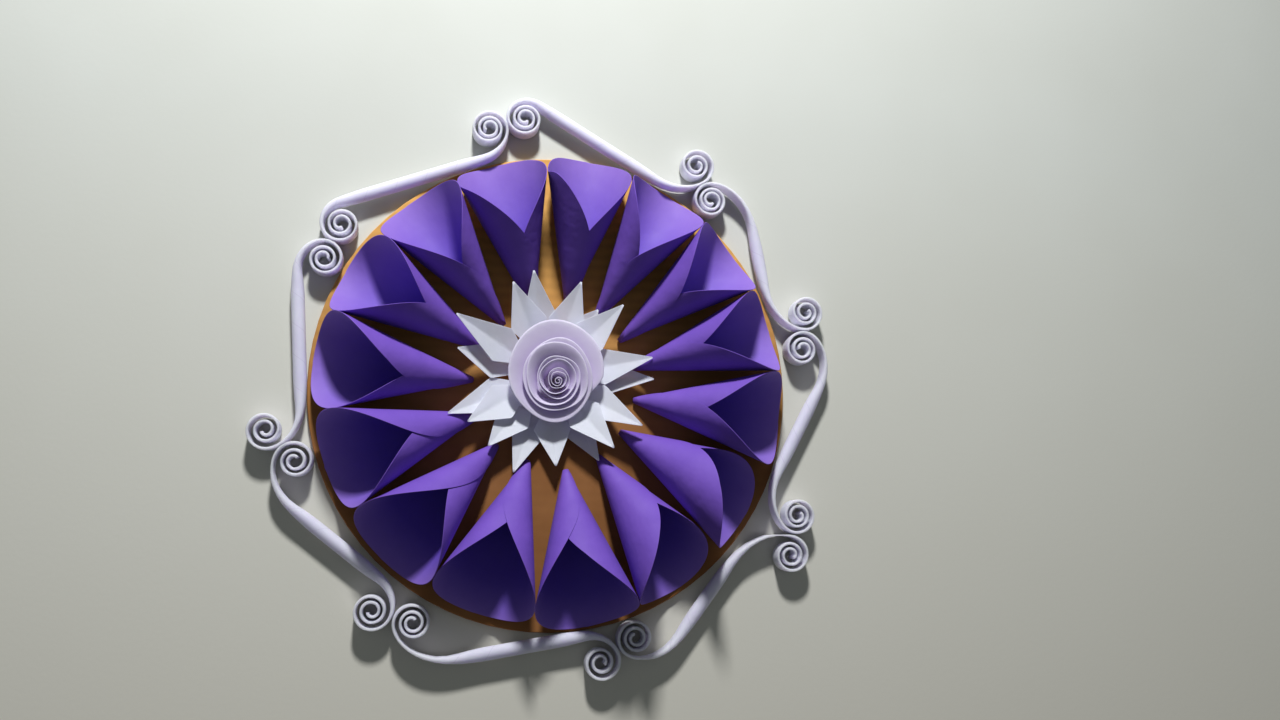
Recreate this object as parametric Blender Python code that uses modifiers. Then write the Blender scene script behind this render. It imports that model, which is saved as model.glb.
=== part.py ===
"""Paper wall hanging: a cardboard disc with a ring of rolled paper cones, a white paper flower
and a frame of eight paper tubes whose flattened ends are curled into scrolls.

Units are metres. The hanging stands upright as it does on the wall: +X to its right, +Z up, and it
faces -Y. The back of the disc lies in the plane y = 0, with the origin at the middle of that face.
"""
import math

import bmesh
import bpy
import numpy as np
from mathutils import Vector

GAP = 0.0003                  # glue line between two pieces that touch

# Cardboard disc
DISC_RADIUS = 0.124
DISC_THICKNESS = 0.003
DISC_EDGE_ROUND = 0.0004
DISC_SEGMENTS = 72

# Rolled cones: a rounded sheet with its rim at the tip, rolled so that its edges cross in front
CONE_SHEET_DIAMETER = 0.083
CONE_PAPER = 0.0003
CONE_ROLL_ANGLE = math.radians(115)      # part of the sheet that one full turn takes up
CONE_TIP_OPENING = 0.0035                # sheet radius at which the rolled tip stays open
CONE_WRAP = math.radians(540)            # how far the sheet goes round, flaps included
CONE_SHEET_BULGE = 0.17                  # how far the sheet's far corners stand out from a round
CONE_STEPS = 30
# How far each mouth reaches past the disc's edge, clockwise from the top
CONE_OVERHANGS_MM = (0.6, -1.4, -1.5, -2.5, -2, -3, -2.5, -1.2, -4, -2.5, -2.5, -2, -2, -2, -1.2)
CONE_BEARINGS = (8, 30, 52.5, 74, 97.5, 123, 147, 171.5, 199, 224.5, 249.5, 275, 298, 320.5, 344)
CONE_SEAM_TURNS = (36, 6, 2, 0, 6, -52, -38, 22, 4, 2, 0, -22, 6, -6, 22)
CONE_FLAP_SIDES = (-1, 1, -1, 1, 1, 1, 1, 1, -1, 1, 1, 1, -1, -1, -1)

# White creased petals, laid over each other in three layers
STAR_CENTRE = (-0.0035, 0.0062)
STAR_PAPER = 0.0003
STAR_BEARINGS = (337, 350, 18, 36, 46, 80, 91, 119, 139, 149, 175, 199, 219, 238, 247, 284, 300)
STAR_LENGTHS_MM = (50, 53, 50, 43, 52, 54, 55, 54, 50, 51, 47, 53, 48, 48, 55, 48, 55)
STAR_LAYERS = (1, 0, 1, 0, 2, 1, 0, 1, 2, 0, 1, 0, 1, 2, 0, 1, 2)
STAR_INNER_REACH = 0.012
STAR_SHOULDER_REACH = 0.028
STAR_SHOULDER_WIDTH = 0.0195
STAR_INNER_WIDTH = 0.002
STAR_TIP_WIDTH = 0.0016
STAR_LEAST_SLOPE = math.radians(9)       # a petal lies at least this steep, more where cones lift it
STAR_CREASE_SLOPE = math.radians(11)     # each half rises from the crease to its edge
STAR_CLEARANCE = STAR_PAPER / 2 + GAP * 2        # from a sloping petal's middle to what it lies on
STAR_SEAT_REACH = 0.022                  # the inner end, as far as here, rests on what is beneath
STAR_PROBES = 44                         # places along a petal where its rest is felt for
STAR_PROBE_SHARES = [step / 10 * 1.1 for step in range(-5, 6)]      # and across it

# Paper rose: one strip wound into a loose spiral whose last turns lean out, most at the top
ROSE_PAPER = 0.0004
ROSE_STRIP_WIDTH = 0.013
ROSE_TURNS = 6
ROSE_STEPS_PER_TURN = 18
ROSE_TILT = 0.1                          # the upper side lies further from the disc
ROSE_EYE_CENTRE = (-0.0014, 0.0012)
ROSE_EYE_RADIUS = 0.0020
ROSE_BASE_CENTRE = (-0.0014, -0.0010)    # middle of the last turn where it rests
ROSE_BASE_RADIUS = 0.0200
ROSE_RIM_CENTRE = (-0.0016, 0.0022)      # middle of the last turn at its free edge
ROSE_RIM_RADIUS = 0.0238
ROSE_TOP_FLARE = 0.0035                  # how much further the last turn leans out at the top
ROSE_FOOT_RADIUS = 0.0165                # round middle of the sheet, glued under the coil
ROSE_FOOT_SEGMENTS = 32
ROSE_FOOT_PROBE_SHARES = (0.6, 0.8, 1)   # parts of its radius where its rest is felt for
ROSE_PROBES_PER_TURN = 54
ROSE_BOW = 1.5                           # the strip leans out late, towards its rim

# Tube frame: eight rolled tubes, flattened at both ends and curled into scrolls
TUBE_RADIUS = 0.0034
STRIP_WIDTH = 0.0100                     # flattened tube, measured away from the wall
STRIP_THICKNESS = 0.0020
TUBE_DEPTH = STRIP_WIDTH / 2 + GAP        # from the wall to the middle of the tubes
FLATTENING_LENGTH = 0.040
FLATTENING_LEAD = 0.014                  # the part of it that lies on the straight
SCROLL_LOOP_RADIUS = 0.0094
SCROLL_EYE_RADIUS = 0.0042
SCROLL_TIGHTENING = 1.3
SCROLL_STEP = math.radians(36)
SECTION_SIDES = 8
TUBE_SPAN_LEAST = 0.055                  # between the middles of a tube's two scrolls
TUBE_SPAN_MOST = 0.115
CLEARANCE_PARTS = 6
SEATING_ROUNDS = 18
DISC_SEATING_ROUNDS = 4
TUBE_BEARINGS = (339.5, 30.5, 79.5, 118, 127, 171, 218.5, 266)
TUBE_END_REACH_MM = (13.8, 2.6, -18.6, -3.2, 75.5, 85.9, 75.4, 72.3)
FIRST_TUBE_START_REACH = -0.0747
START_SIDES = (-1, -1, -1, -1, 1, 1, 1, 1)       # +1 curls away from the disc, -1 towards it
END_SIDES = (1, 1, 1, 1, -1, -1, -1, -1)
START_STANDOFF_MM = (11.2, 10.5, 20.3, 17.9, 22.3, 13.1, 13.5, 16.1)
END_STANDOFF_MM = (14, 17.9, 18.8, 18.5, 17.6, 20.6, 17.7, 13)
START_TURNS_DEG = (690, 760, 800, 720, 700, 640, 720, 660)
END_TURNS_DEG = (800, 700, 720, 760, 720, 740, 690, 700)

MILLIMETRE = 0.001


def new_collection(name):
    collection = bpy.data.collections.new(name)
    bpy.context.scene.collection.children.link(collection)
    return collection


def paper_material(name, colour, roughness):
    material = bpy.data.materials.new(name)
    material.use_nodes = True
    shader = material.node_tree.nodes["Principled BSDF"]
    shader.inputs["Base Color"].default_value = (*colour, 1.0)
    shader.inputs["Roughness"].default_value = roughness
    shader.inputs["Metallic"].default_value = 0.0
    return material


def finish_object(name, mesh, material, collection, sharp_angle=30):
    """Give a mesh its object, its material and smooth shading with sharp folds."""
    mesh.materials.append(material)
    mesh.shade_smooth()
    mesh.set_sharp_from_angle(angle=math.radians(sharp_angle))
    piece = bpy.data.objects.new(name, mesh)
    collection.objects.link(piece)
    return piece


def sheet_object(name, rows, thickness, material, collection, sharp_angle=30):
    """A sheet of paper: an open grid of points, thickened evenly about its middle."""
    bm = bmesh.new()
    grid = [[bm.verts.new(point) for point in row] for row in rows]
    for row, next_row in zip(grid, grid[1:]):
        for i in range(len(row) - 1):
            bm.faces.new((row[i], row[i + 1], next_row[i + 1], next_row[i]))
    mesh = bpy.data.meshes.new(name)
    bm.to_mesh(mesh)
    bm.free()
    piece = finish_object(name, mesh, material, collection, sharp_angle)
    solidify = piece.modifiers.new("Paper thickness", "SOLIDIFY")
    solidify.thickness = thickness
    solidify.offset = 0.0
    return piece


def loft_object(name, rings, material, collection):
    """A closed body drawn through rings of points, with a flat cap at each end."""
    bm = bmesh.new()
    loops = [[bm.verts.new(point) for point in ring] for ring in rings]
    for loop, next_loop in zip(loops, loops[1:]):
        count = len(loop)
        for i in range(count):
            j = (i + 1) % count
            bm.faces.new((loop[i], loop[j], next_loop[j], next_loop[i]))
    bm.faces.new(list(reversed(loops[0])))
    bm.faces.new(loops[-1])
    bmesh.ops.recalc_face_normals(bm, faces=bm.faces)
    mesh = bpy.data.meshes.new(name)
    bm.to_mesh(mesh)
    bm.free()
    return finish_object(name, mesh, material, collection, 45)


def bearing_axes(bearing_deg):
    """Outward and clockwise directions in the plane of the wall at a clock bearing."""
    bearing = math.radians(bearing_deg)
    outward = Vector((math.sin(bearing), 0, math.cos(bearing)))
    clockwise = Vector((math.cos(bearing), 0, -math.sin(bearing)))
    return outward, clockwise


FRONT = Vector((0, -1, 0))


def make_disc(material, collection):
    """The cardboard disc that everything is glued to."""
    bm = bmesh.new()
    bmesh.ops.create_cone(bm, cap_ends=True, segments=DISC_SEGMENTS, radius1=DISC_RADIUS,
                          radius2=DISC_RADIUS, depth=DISC_THICKNESS)
    mesh = bpy.data.meshes.new("backing_disc")
    bm.to_mesh(mesh)
    bm.free()
    disc = finish_object("backing_disc", mesh, material, collection)
    disc.rotation_euler = (math.radians(90), 0, 0)
    disc.location = (0, -DISC_THICKNESS / 2, 0)
    bevel = disc.modifiers.new("Cut edge", "BEVEL")
    bevel.width = DISC_EDGE_ROUND
    bevel.segments = 1
    return disc


def cone_half_angle():
    """Half the opening angle of the cone that the sheet rolls into."""
    return math.asin(CONE_ROLL_ANGLE / math.tau)


def cone_sheet_point(turn, distance, seam_turn, flap_side):
    """A point of the rolled sheet as (outward, sideways, frontward) from the cone's tip.

    turn is the angle round the cone from the middle of the sheet, and distance is measured on the
    sheet from the tip. Each full turn lies one paper and one gap outside the one before.
    """
    alpha = cone_half_angle()
    layer = (CONE_PAPER + GAP) * turn / math.tau
    ring = distance * math.sin(alpha) + layer * math.cos(alpha)
    along = distance * math.cos(alpha) - layer * math.sin(alpha)
    around = flap_side * turn - seam_turn
    back = ring * math.cos(around)
    side = ring * math.sin(around)
    outward = along * math.cos(alpha) + back * math.sin(alpha)
    front = along * math.sin(alpha) - back * math.cos(alpha)
    return outward, side, front


def cone_sheet_reach(turn):
    """Length of the sheet from its tip to its rim at one angle round the cone."""
    sheet_angle = turn * CONE_ROLL_ANGLE / math.tau
    bulge = CONE_SHEET_BULGE * (math.sin(2 * sheet_angle) * math.cos(sheet_angle)) ** 2
    return CONE_SHEET_DIAMETER * math.cos(sheet_angle) * (1 + bulge)


def cone_rows(seam_turn, flap_side):
    """The sheet's inner and outer edge as two rows of local points."""
    inner = []
    outer = []
    for step in range(CONE_STEPS + 1):
        turn = CONE_WRAP * (step / CONE_STEPS - 0.5)
        rim = cone_sheet_reach(turn)
        inner.append(cone_sheet_point(turn, CONE_TIP_OPENING, seam_turn, flap_side))
        outer.append(cone_sheet_point(turn, rim, seam_turn, flap_side))
    return [inner, outer]


def make_cone(index, material, collection):
    """One rolled cone, pressed so that its mouth just meets its neighbours' mouths."""
    bearing = CONE_BEARINGS[index]
    count = len(CONE_BEARINGS)
    before = (bearing - CONE_BEARINGS[index - 1]) % 360
    after = (CONE_BEARINGS[(index + 1) % count] - bearing) % 360
    seam_turn = math.radians(CONE_SEAM_TURNS[index])
    rows = cone_rows(seam_turn, CONE_FLAP_SIDES[index])
    lip_radius = DISC_RADIUS + CONE_OVERHANGS_MM[index] * MILLIMETRE
    tip_radius = lip_radius - CONE_SHEET_DIAMETER
    points = np.array(rows[0] + rows[1])
    skin = CONE_PAPER / 2 + GAP / 2
    reach = tip_radius + points[:, 0]
    presses = []
    for side, share in ((-1, before), (1, after)):
        widest = np.max((side * points[:, 1] + skin) / reach)
        presses.append(math.tan(math.radians(share / 2)) / widest)
    deepen = 2 - sum(presses) / 2
    outward, clockwise = bearing_axes(bearing)
    lowest = min(point[2] for point in rows[1])
    seat = DISC_THICKNESS + GAP + CONE_PAPER / 2 + abs(lowest)
    world_rows = []
    for row in rows:
        world_row = []
        for out, side, front in row:
            press = presses[1] if side > 0 else presses[0]
            place = outward * (tip_radius + out) + clockwise * (side * press)
            world_row.append(place + FRONT * (front * deepen + seat))
        world_rows.append(world_row)
    name = "cone_petal_%02d" % (index + 1)
    return sheet_object(name, world_rows, CONE_PAPER, material, collection, 60)


def height_beneath(place):
    """Height above the wall of what has been made so far, met from the front at one place."""
    depsgraph = bpy.context.evaluated_depsgraph_get()
    start = Vector((place.x, -DISC_RADIUS, place.z))
    met, spot, *_ = bpy.context.scene.ray_cast(depsgraph, start, -FRONT)
    return -spot.y if met else 0.0


def star_width(reach, length):
    """Width of a white petal at a distance from the middle of the star."""
    reaches = (STAR_INNER_REACH, STAR_SHOULDER_REACH, length)
    widths = (STAR_INNER_WIDTH, STAR_SHOULDER_WIDTH, STAR_TIP_WIDTH)
    return float(np.interp(reach, reaches, widths))


def rest_star_petal(centre, outward, clockwise, length):
    """Seat height and slope at which a petal just lies on the pieces beneath it."""
    crease = math.tan(STAR_CREASE_SLOPE)
    least = math.tan(STAR_LEAST_SLOPE)
    needs = []
    for step in range(STAR_PROBES + 1):
        out = (length - STAR_INNER_REACH) * step / STAR_PROBES
        width = star_width(STAR_INNER_REACH + out, length)
        for side in STAR_PROBE_SHARES:
            edge = side * width
            place = centre + outward * (STAR_INNER_REACH + out) + clockwise * edge
            needs.append((out, height_beneath(place) + STAR_CLEARANCE - abs(edge) * crease))
    inner = STAR_SEAT_REACH - STAR_INNER_REACH
    seat = max(need - out * least for out, need in needs if out < inner)
    slope = max((need - seat) / out for out, need in needs if out >= inner)
    return seat, max(least, slope)


def make_star_petal(index, material, collection):
    """One kite-shaped white petal, creased down its middle with its edges raised."""
    outward, clockwise = bearing_axes(STAR_BEARINGS[index])
    centre = Vector((STAR_CENTRE[0], 0, STAR_CENTRE[1]))
    length = STAR_LENGTHS_MM[index] * MILLIMETRE
    seat, slope = rest_star_petal(centre, outward, clockwise, length)
    rows = []
    for reach in (STAR_INNER_REACH, STAR_SHOULDER_REACH, length):
        row = []
        for side in (-0.5, 0, 0.5):
            edge = side * star_width(reach, length)
            rise = (reach - STAR_INNER_REACH) * slope + abs(edge) * math.tan(STAR_CREASE_SLOPE)
            row.append(centre + outward * reach + clockwise * edge + FRONT * (seat + rise))
        rows.append(row)
    name = "star_petal_%02d" % (index + 1)
    return sheet_object(name, rows, STAR_PAPER, material, collection, 10)


def rose_turn_point(share, centre, radius, angle):
    """A point of the spiral, share of the way from the eye to the circle of the last turn."""
    x = ROSE_EYE_CENTRE[0] + (centre[0] - ROSE_EYE_CENTRE[0]) * share
    z = ROSE_EYE_CENTRE[1] + (centre[1] - ROSE_EYE_CENTRE[1]) * share
    reach = ROSE_EYE_RADIUS + (radius - ROSE_EYE_RADIUS) * share
    return Vector((x + reach * math.sin(angle), 0, z + reach * math.cos(angle)))


def rose_path(part, steps_per_turn=ROSE_STEPS_PER_TURN):
    """One row of the rose's strip as (place, depth) points: part 0 is its base and 1 its rim."""
    steps = ROSE_TURNS * steps_per_turn
    row = []
    for step in range(steps + 1):
        share = step / steps
        angle = math.tau * ROSE_TURNS * share
        flare = ROSE_TOP_FLARE * share ** 3 * max(0.0, math.cos(angle))
        base = rose_turn_point(share, ROSE_BASE_CENTRE, ROSE_BASE_RADIUS, angle)
        rim = rose_turn_point(share, ROSE_RIM_CENTRE, ROSE_RIM_RADIUS + flare, angle)
        rise = math.sqrt(ROSE_STRIP_WIDTH ** 2 - (rim - base).length ** 2)
        place = base.lerp(rim, part ** ROSE_BOW)
        row.append((place, rise * part + place.z * ROSE_TILT))
    return row


def make_rose_foot(material, collection):
    """The round middle of the rose's sheet, which lies on the white petals under the coil."""
    centre = Vector((ROSE_BASE_CENTRE[0], 0, ROSE_BASE_CENTRE[1]))
    needs = []
    for probe in range(ROSE_PROBES_PER_TURN):
        outward, _ = bearing_axes(360 * probe / ROSE_PROBES_PER_TURN)
        for share in ROSE_FOOT_PROBE_SHARES:
            place = centre + outward * (ROSE_FOOT_RADIUS * share)
            needs.append(height_beneath(place) - place.z * ROSE_TILT)
    bm = bmesh.new()
    bmesh.ops.create_circle(bm, cap_ends=True, segments=ROSE_FOOT_SEGMENTS, radius=ROSE_FOOT_RADIUS)
    mesh = bpy.data.meshes.new("rose_foot")
    bm.to_mesh(mesh)
    bm.free()
    foot = finish_object("rose_foot", mesh, material, collection)
    foot.rotation_euler = (math.radians(90) + math.atan(ROSE_TILT), 0, 0)
    height = max(needs) + GAP * 2 + ROSE_PAPER / 2 + centre.z * ROSE_TILT
    foot.location = centre + FRONT * height
    solidify = foot.modifiers.new("Paper thickness", "SOLIDIFY")
    solidify.thickness = ROSE_PAPER
    solidify.offset = 0.0


def make_rose(material, collection):
    """The rose: one strip wound from the eye outwards, set down on its foot."""
    feelers = rose_path(0, ROSE_PROBES_PER_TURN)
    seat = max(height_beneath(place) - depth for place, depth in feelers) + GAP + ROSE_PAPER / 2
    rows = [[place + FRONT * (seat + depth) for place, depth in rose_path(part)]
            for part in (0, 0.5, 1)]
    return sheet_object("paper_rose", rows, ROSE_PAPER, material, collection, 60)


def scroll_shape(standoff, turns_deg):
    """A scroll that leaves the origin along +x and curls to +y.

    Returns its points, its headings and the place along x of the middle of its loops. In the first
    quarter turn the bend tightens to the loop radius, and from there to the eye.
    """
    quarter = math.pi / 2
    total = math.radians(turns_deg)
    start_radius = (standoff - SCROLL_LOOP_RADIUS * 2 / math.pi) / (1 - 2 / math.pi)
    middle = (start_radius - SCROLL_LOOP_RADIUS) * 2 / math.pi
    count = max(2, round(total / SCROLL_STEP))
    fine = 12
    x = y = heading = 0.0
    points = [(x, y)]
    headings = [heading]
    step = total / (count * fine)
    for i in range(count * fine):
        bend = heading + step / 2
        if bend < quarter:
            radius = start_radius + (SCROLL_LOOP_RADIUS - start_radius) * bend / quarter
        else:
            left = 1 - (bend - quarter) / (total - quarter)
            drop = SCROLL_LOOP_RADIUS - SCROLL_EYE_RADIUS
            radius = SCROLL_EYE_RADIUS + drop * left ** SCROLL_TIGHTENING
        x += radius * step * math.cos(bend)
        y += radius * step * math.sin(bend)
        heading += step
        if (i + 1) % fine == 0:
            points.append((x, y))
            headings.append(heading)
    return points, headings, middle


def tube_path(index, line_reach, start_reach, end_reach):
    """A tube's middle line, from eye to eye, as (place, direction, flatness) steps.

    line_reach is the distance of its straight from the disc's middle. start_reach and end_reach
    place the middles of its two scrolls along that straight, measured clockwise from the point
    nearest to the disc's middle. Flatness is 0 where the tube is round and 1 where it is flat.
    """
    outward, clockwise = bearing_axes(TUBE_BEARINGS[index])
    start = scroll_shape(START_STANDOFF_MM[index] * MILLIMETRE, START_TURNS_DEG[index])
    end = scroll_shape(END_STANDOFF_MM[index] * MILLIMETRE, END_TURNS_DEG[index])
    straight_start = start_reach + start[2]
    straight_end = end_reach - end[2]
    local = []
    for (x, y), heading in reversed(list(zip(start[0], start[1]))):
        side = START_SIDES[index]
        local.append((straight_start - x, side * y, -side * heading))
    first = len(local) - 1
    middle = (straight_start + straight_end) / 2
    for along in (straight_start + FLATTENING_LEAD, middle, straight_end - FLATTENING_LEAD):
        local.append((along, 0.0, 0.0))
    last = len(local)
    for (x, y), heading in zip(end[0], end[1]):
        side = END_SIDES[index]
        local.append((straight_end + x, side * y, side * heading))
    lengths = [0.0]
    for a, b in zip(local, local[1:]):
        lengths.append(lengths[-1] + math.hypot(b[0] - a[0], b[1] - a[1]))
    path = []
    for (along, out, heading), length in zip(local, lengths):
        place = outward * (line_reach + out) + clockwise * along
        ahead = clockwise * math.cos(heading) + outward * math.sin(heading)
        past = max(lengths[first] - length, length - lengths[last]) + FLATTENING_LEAD
        share = min(1.0, max(0.0, past / FLATTENING_LENGTH))
        path.append((place, ahead, share * share * (3 - 2 * share)))
    return path


def half_thickness(flat):
    return TUBE_RADIUS + (STRIP_THICKNESS / 2 - TUBE_RADIUS) * flat


def half_width(flat):
    return TUBE_RADIUS + (STRIP_WIDTH / 2 - TUBE_RADIUS) * flat


def section_power(flat):
    """A round tube has an even section, and a flattened one has squarer sides."""
    return 1 - 0.4 * flat


def thickness_at_disc(flat):
    """Half the thickness of a tube where it passes the front edge of the disc."""
    corner = math.tan(math.pi / SECTION_SIDES) ** section_power(flat)
    offset = (TUBE_DEPTH - DISC_THICKNESS) / half_width(flat)
    return half_thickness(flat) * (1 - max(0.0, offset - corner))


def dense_outline(path, thickness):
    """Points along a tube's middle line with half its thickness there."""
    rows = []
    for (place, _, flat), (next_place, _, next_flat) in zip(path, path[1:]):
        half = thickness(flat)
        change = thickness(next_flat) - half
        for k in range(CLEARANCE_PARTS):
            part = k / CLEARANCE_PARTS
            spot = place.lerp(next_place, part)
            rows.append((spot.x, spot.z, half + change * part))
    return np.array(rows)


def seat_on_disc(index, start_reach, end_reach):
    """A tube's path with its side one glue line from the edge of the disc."""
    line_reach = DISC_RADIUS + GAP + TUBE_RADIUS
    for _ in range(DISC_SEATING_ROUNDS):
        path = tube_path(index, line_reach, start_reach, end_reach)
        outline = dense_outline(path, thickness_at_disc)
        away = np.hypot(outline[:, 0], outline[:, 1]) - outline[:, 2]
        line_reach += DISC_RADIUS + GAP - float(np.min(away))
    return tube_path(index, line_reach, start_reach, end_reach)


def clearance(path_a, path_b):
    """Smallest space between two tubes, seen from the front."""
    a = dense_outline(path_a, half_thickness)
    b = dense_outline(path_b, half_thickness)
    away = np.hypot(a[:, None, 0] - b[None, :, 0], a[:, None, 1] - b[None, :, 1])
    return float(np.min(away - a[:, None, 2] - b[None, :, 2]))


def seat_reach(make_path, neighbour, touching, clear):
    """Slide a scroll along its line until it lies one glue line from its neighbour."""
    for _ in range(SEATING_ROUNDS):
        middle = (touching + clear) / 2
        if clearance(make_path(middle), neighbour) < GAP:
            touching = middle
        else:
            clear = middle
    return clear


def frame_paths():
    """The middle lines of all tubes, each scroll seated against the one before it."""
    last = len(TUBE_BEARINGS) - 1
    ends = [reach * MILLIMETRE for reach in TUBE_END_REACH_MM]
    paths = [seat_on_disc(0, FIRST_TUBE_START_REACH, ends[0])]
    for index in range(1, last + 1):
        end = ends[index]

        def from_start(reach):
            return seat_on_disc(index, reach, end)

        start = seat_reach(from_start, paths[-1], end - TUBE_SPAN_MOST, end - TUBE_SPAN_LEAST)
        paths.append(from_start(start))

    def from_end(reach):
        return seat_on_disc(last, start, reach)

    end = seat_reach(from_end, paths[0], start + TUBE_SPAN_MOST, start + TUBE_SPAN_LEAST)
    paths[last] = from_end(end)
    return paths


def make_tube(index, path, material, collection):
    """One frame tube as a loft: round in the middle, flat where it curls."""
    half_step = math.pi / SECTION_SIDES
    rings = []
    for place, ahead, flat in path:
        power = section_power(flat)
        to_flats = math.cos(half_step) ** power
        across = Vector((ahead.z, 0, -ahead.x))
        ring = []
        for side in range(SECTION_SIDES):
            angle = math.tau * side / SECTION_SIDES + half_step
            front = math.copysign(abs(math.cos(angle)) ** power, math.cos(angle)) / to_flats
            thick = math.copysign(abs(math.sin(angle)) ** power, math.sin(angle)) / to_flats
            ring.append(place + FRONT * (TUBE_DEPTH + half_width(flat) * front)
                        + across * (half_thickness(flat) * thick))
        rings.append(ring)
    return loft_object("frame_tube_%d" % (index + 1), rings, material, collection)


def main():
    for old in list(bpy.data.objects):
        bpy.data.objects.remove(old, do_unlink=True)
    collection = new_collection("paper_wall_hanging")
    cardboard = paper_material("Brown cardboard", (0.42, 0.24, 0.10), 0.85)
    purple = paper_material("Purple paper", (0.21, 0.09, 0.52), 0.75)
    white = paper_material("White paper", (0.84, 0.83, 0.88), 0.7)
    lilac = paper_material("Pale lilac paper", (0.78, 0.68, 0.84), 0.7)
    make_disc(cardboard, collection)
    for index in range(len(CONE_BEARINGS)):
        make_cone(index, purple, collection)
    for layer in sorted(set(STAR_LAYERS)):
        for index in range(len(STAR_BEARINGS)):
            if STAR_LAYERS[index] == layer:
                make_star_petal(index, white, collection)
    make_rose_foot(lilac, collection)
    make_rose(lilac, collection)
    for index, path in enumerate(frame_paths()):
        make_tube(index, path, white, collection)


main()
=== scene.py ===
# %% [markdown]
# # A paper wall hanging, dressed over its solids
# The hanging is a cardboard disc with fifteen rolled cones of purple paper, a white star of folded
# petals with a spiral rose on it, and a frame of eight paper tubes with curled ends. The solids give
# every piece its place. This file lays finer sheets over them, because paper shows its quality in
# thin edges, in soft rolls and in crisp folds, which need many more points than a solid carries.

import bmesh
import bpy
import math
import numpy as np
import random
from mathutils import Matrix, Vector


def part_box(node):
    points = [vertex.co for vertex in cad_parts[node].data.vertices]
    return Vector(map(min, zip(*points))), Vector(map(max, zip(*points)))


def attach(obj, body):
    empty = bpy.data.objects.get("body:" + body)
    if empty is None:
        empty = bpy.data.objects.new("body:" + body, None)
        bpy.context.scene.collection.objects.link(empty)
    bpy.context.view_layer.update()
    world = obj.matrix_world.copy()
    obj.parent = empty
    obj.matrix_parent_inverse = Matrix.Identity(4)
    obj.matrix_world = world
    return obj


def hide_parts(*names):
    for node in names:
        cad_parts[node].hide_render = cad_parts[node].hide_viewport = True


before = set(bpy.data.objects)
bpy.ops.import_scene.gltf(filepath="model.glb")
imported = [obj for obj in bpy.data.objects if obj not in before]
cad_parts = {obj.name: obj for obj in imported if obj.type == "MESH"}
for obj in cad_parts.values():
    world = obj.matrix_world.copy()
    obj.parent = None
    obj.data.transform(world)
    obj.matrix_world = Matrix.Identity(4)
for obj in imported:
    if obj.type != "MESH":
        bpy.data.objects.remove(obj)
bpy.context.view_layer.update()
print("solids loaded:", len(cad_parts))

# %% [markdown]
# The hanging is upright: +X is to the viewer's right, +Z is up, and the front faces -Y. Places on the
# disc are easiest to give as a clock bearing, so one helper turns a bearing into two directions.

# %% Directions on the disc
FRONT = Vector((0, -1, 0))
MM = 0.001
GLUE = 0.0003                 # the solids keep this gap where pieces touch
DISC_RADIUS = 0.124
DISC_THICKNESS = 0.003


def bearing_axes(bearing_deg):
    """Outward and clockwise directions along the wall at a clock bearing."""
    bearing = math.radians(bearing_deg)
    outward = Vector((math.sin(bearing), 0, math.cos(bearing)))
    clockwise = Vector((math.cos(bearing), 0, -math.sin(bearing)))
    return outward, clockwise


print("outward at twelve o'clock:", tuple(round(v, 3) for v in bearing_axes(0)[0]))

# %% [markdown]
# ## Sheets and tubes from rows of points
# A sheet of paper could be drawn as a flat mesh and bent by modifiers, but a rolled cone or a wound
# rose follows a formula, so its points are computed row by row and joined as a grid. Solidify then
# gives the paper its thickness. Each point also carries how near it lies to a cut edge or a fold,
# because paper whitens and wears there, and the materials read that value.

# %% Grid helpers
def add_values(mesh, name, values):
    """Store one number for each point of a mesh under a name that a material can read."""
    layer = mesh.attributes.new(name, "FLOAT", "POINT")
    layer.data.foreach_set("value", np.array(values, np.float32))


def grid_mesh(name, rows, closed=False, uv=None):
    """Join rows of points with faces. A closed grid also joins each row's end to its start."""
    wide = len(rows[0])
    span = wide if closed else wide - 1
    points = [tuple(point) for row in rows for point in row]
    faces = []
    for j in range(len(rows) - 1):
        for i in range(span):
            k = (i + 1) % wide
            faces.append((j * wide + i, j * wide + k, (j + 1) * wide + k, (j + 1) * wide + i))
    mesh = bpy.data.meshes.new(name)
    mesh.from_pydata(points, [], faces)
    if uv:
        layer = mesh.uv_layers.new(name="Paper")
        coords = []
        for j in range(len(rows) - 1):
            for i in range(span):
                coords += [uv(i, j), uv(i + 1, j), uv(i + 1, j + 1), uv(i, j + 1)]
        layer.data.foreach_set("uv", np.array(coords, np.float32).ravel())
    return mesh


def add_object(name, data):
    """Make an object from its data and put it in the scene."""
    made = bpy.data.objects.new(name, data)
    bpy.context.scene.collection.objects.link(made)
    return made


def place_piece(mesh, material, replaces, sharp_deg=60):
    """Make the object, shade it smooth with sharp folds, attach it to the root, and hide the solid that
    it stands for.
    """
    mesh.materials.append(material)
    mesh.shade_smooth()
    mesh.set_sharp_from_angle(angle=math.radians(sharp_deg))
    piece = add_object(mesh.name, mesh)
    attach(piece, "root")
    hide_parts(replaces)
    return piece


def thicken(piece, thickness):
    """Give a sheet its thickness, half to each side."""
    solid = piece.modifiers.new("Paper thickness", "SOLIDIFY")
    solid.thickness = thickness
    solid.offset = 0.0
    return piece


print("grid helpers ready")

# %% [markdown]
# ## Node helpers
# The materials are node trees built in code. Small helpers keep each tree readable: one adds a node
# and fills its inputs, and the others are the steps that come back all the time, such as a remap, a
# sum, a mix of two colours or a noise.

# %% Node helpers
def add_node(tree, kind, **inputs):
    """Add a node, and fill or link its sockets by name, or by number as i0, i1 and so on."""
    node = tree.nodes.new(kind)
    for label, value in inputs.items():
        by_number = label[0] == "i" and label[1:].isdigit()
        socket = node.inputs[int(label[1:]) if by_number else label.replace("_", " ")]
        if isinstance(value, bpy.types.NodeSocket):
            tree.links.new(value, socket)
        else:
            socket.default_value = value
    return node


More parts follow.
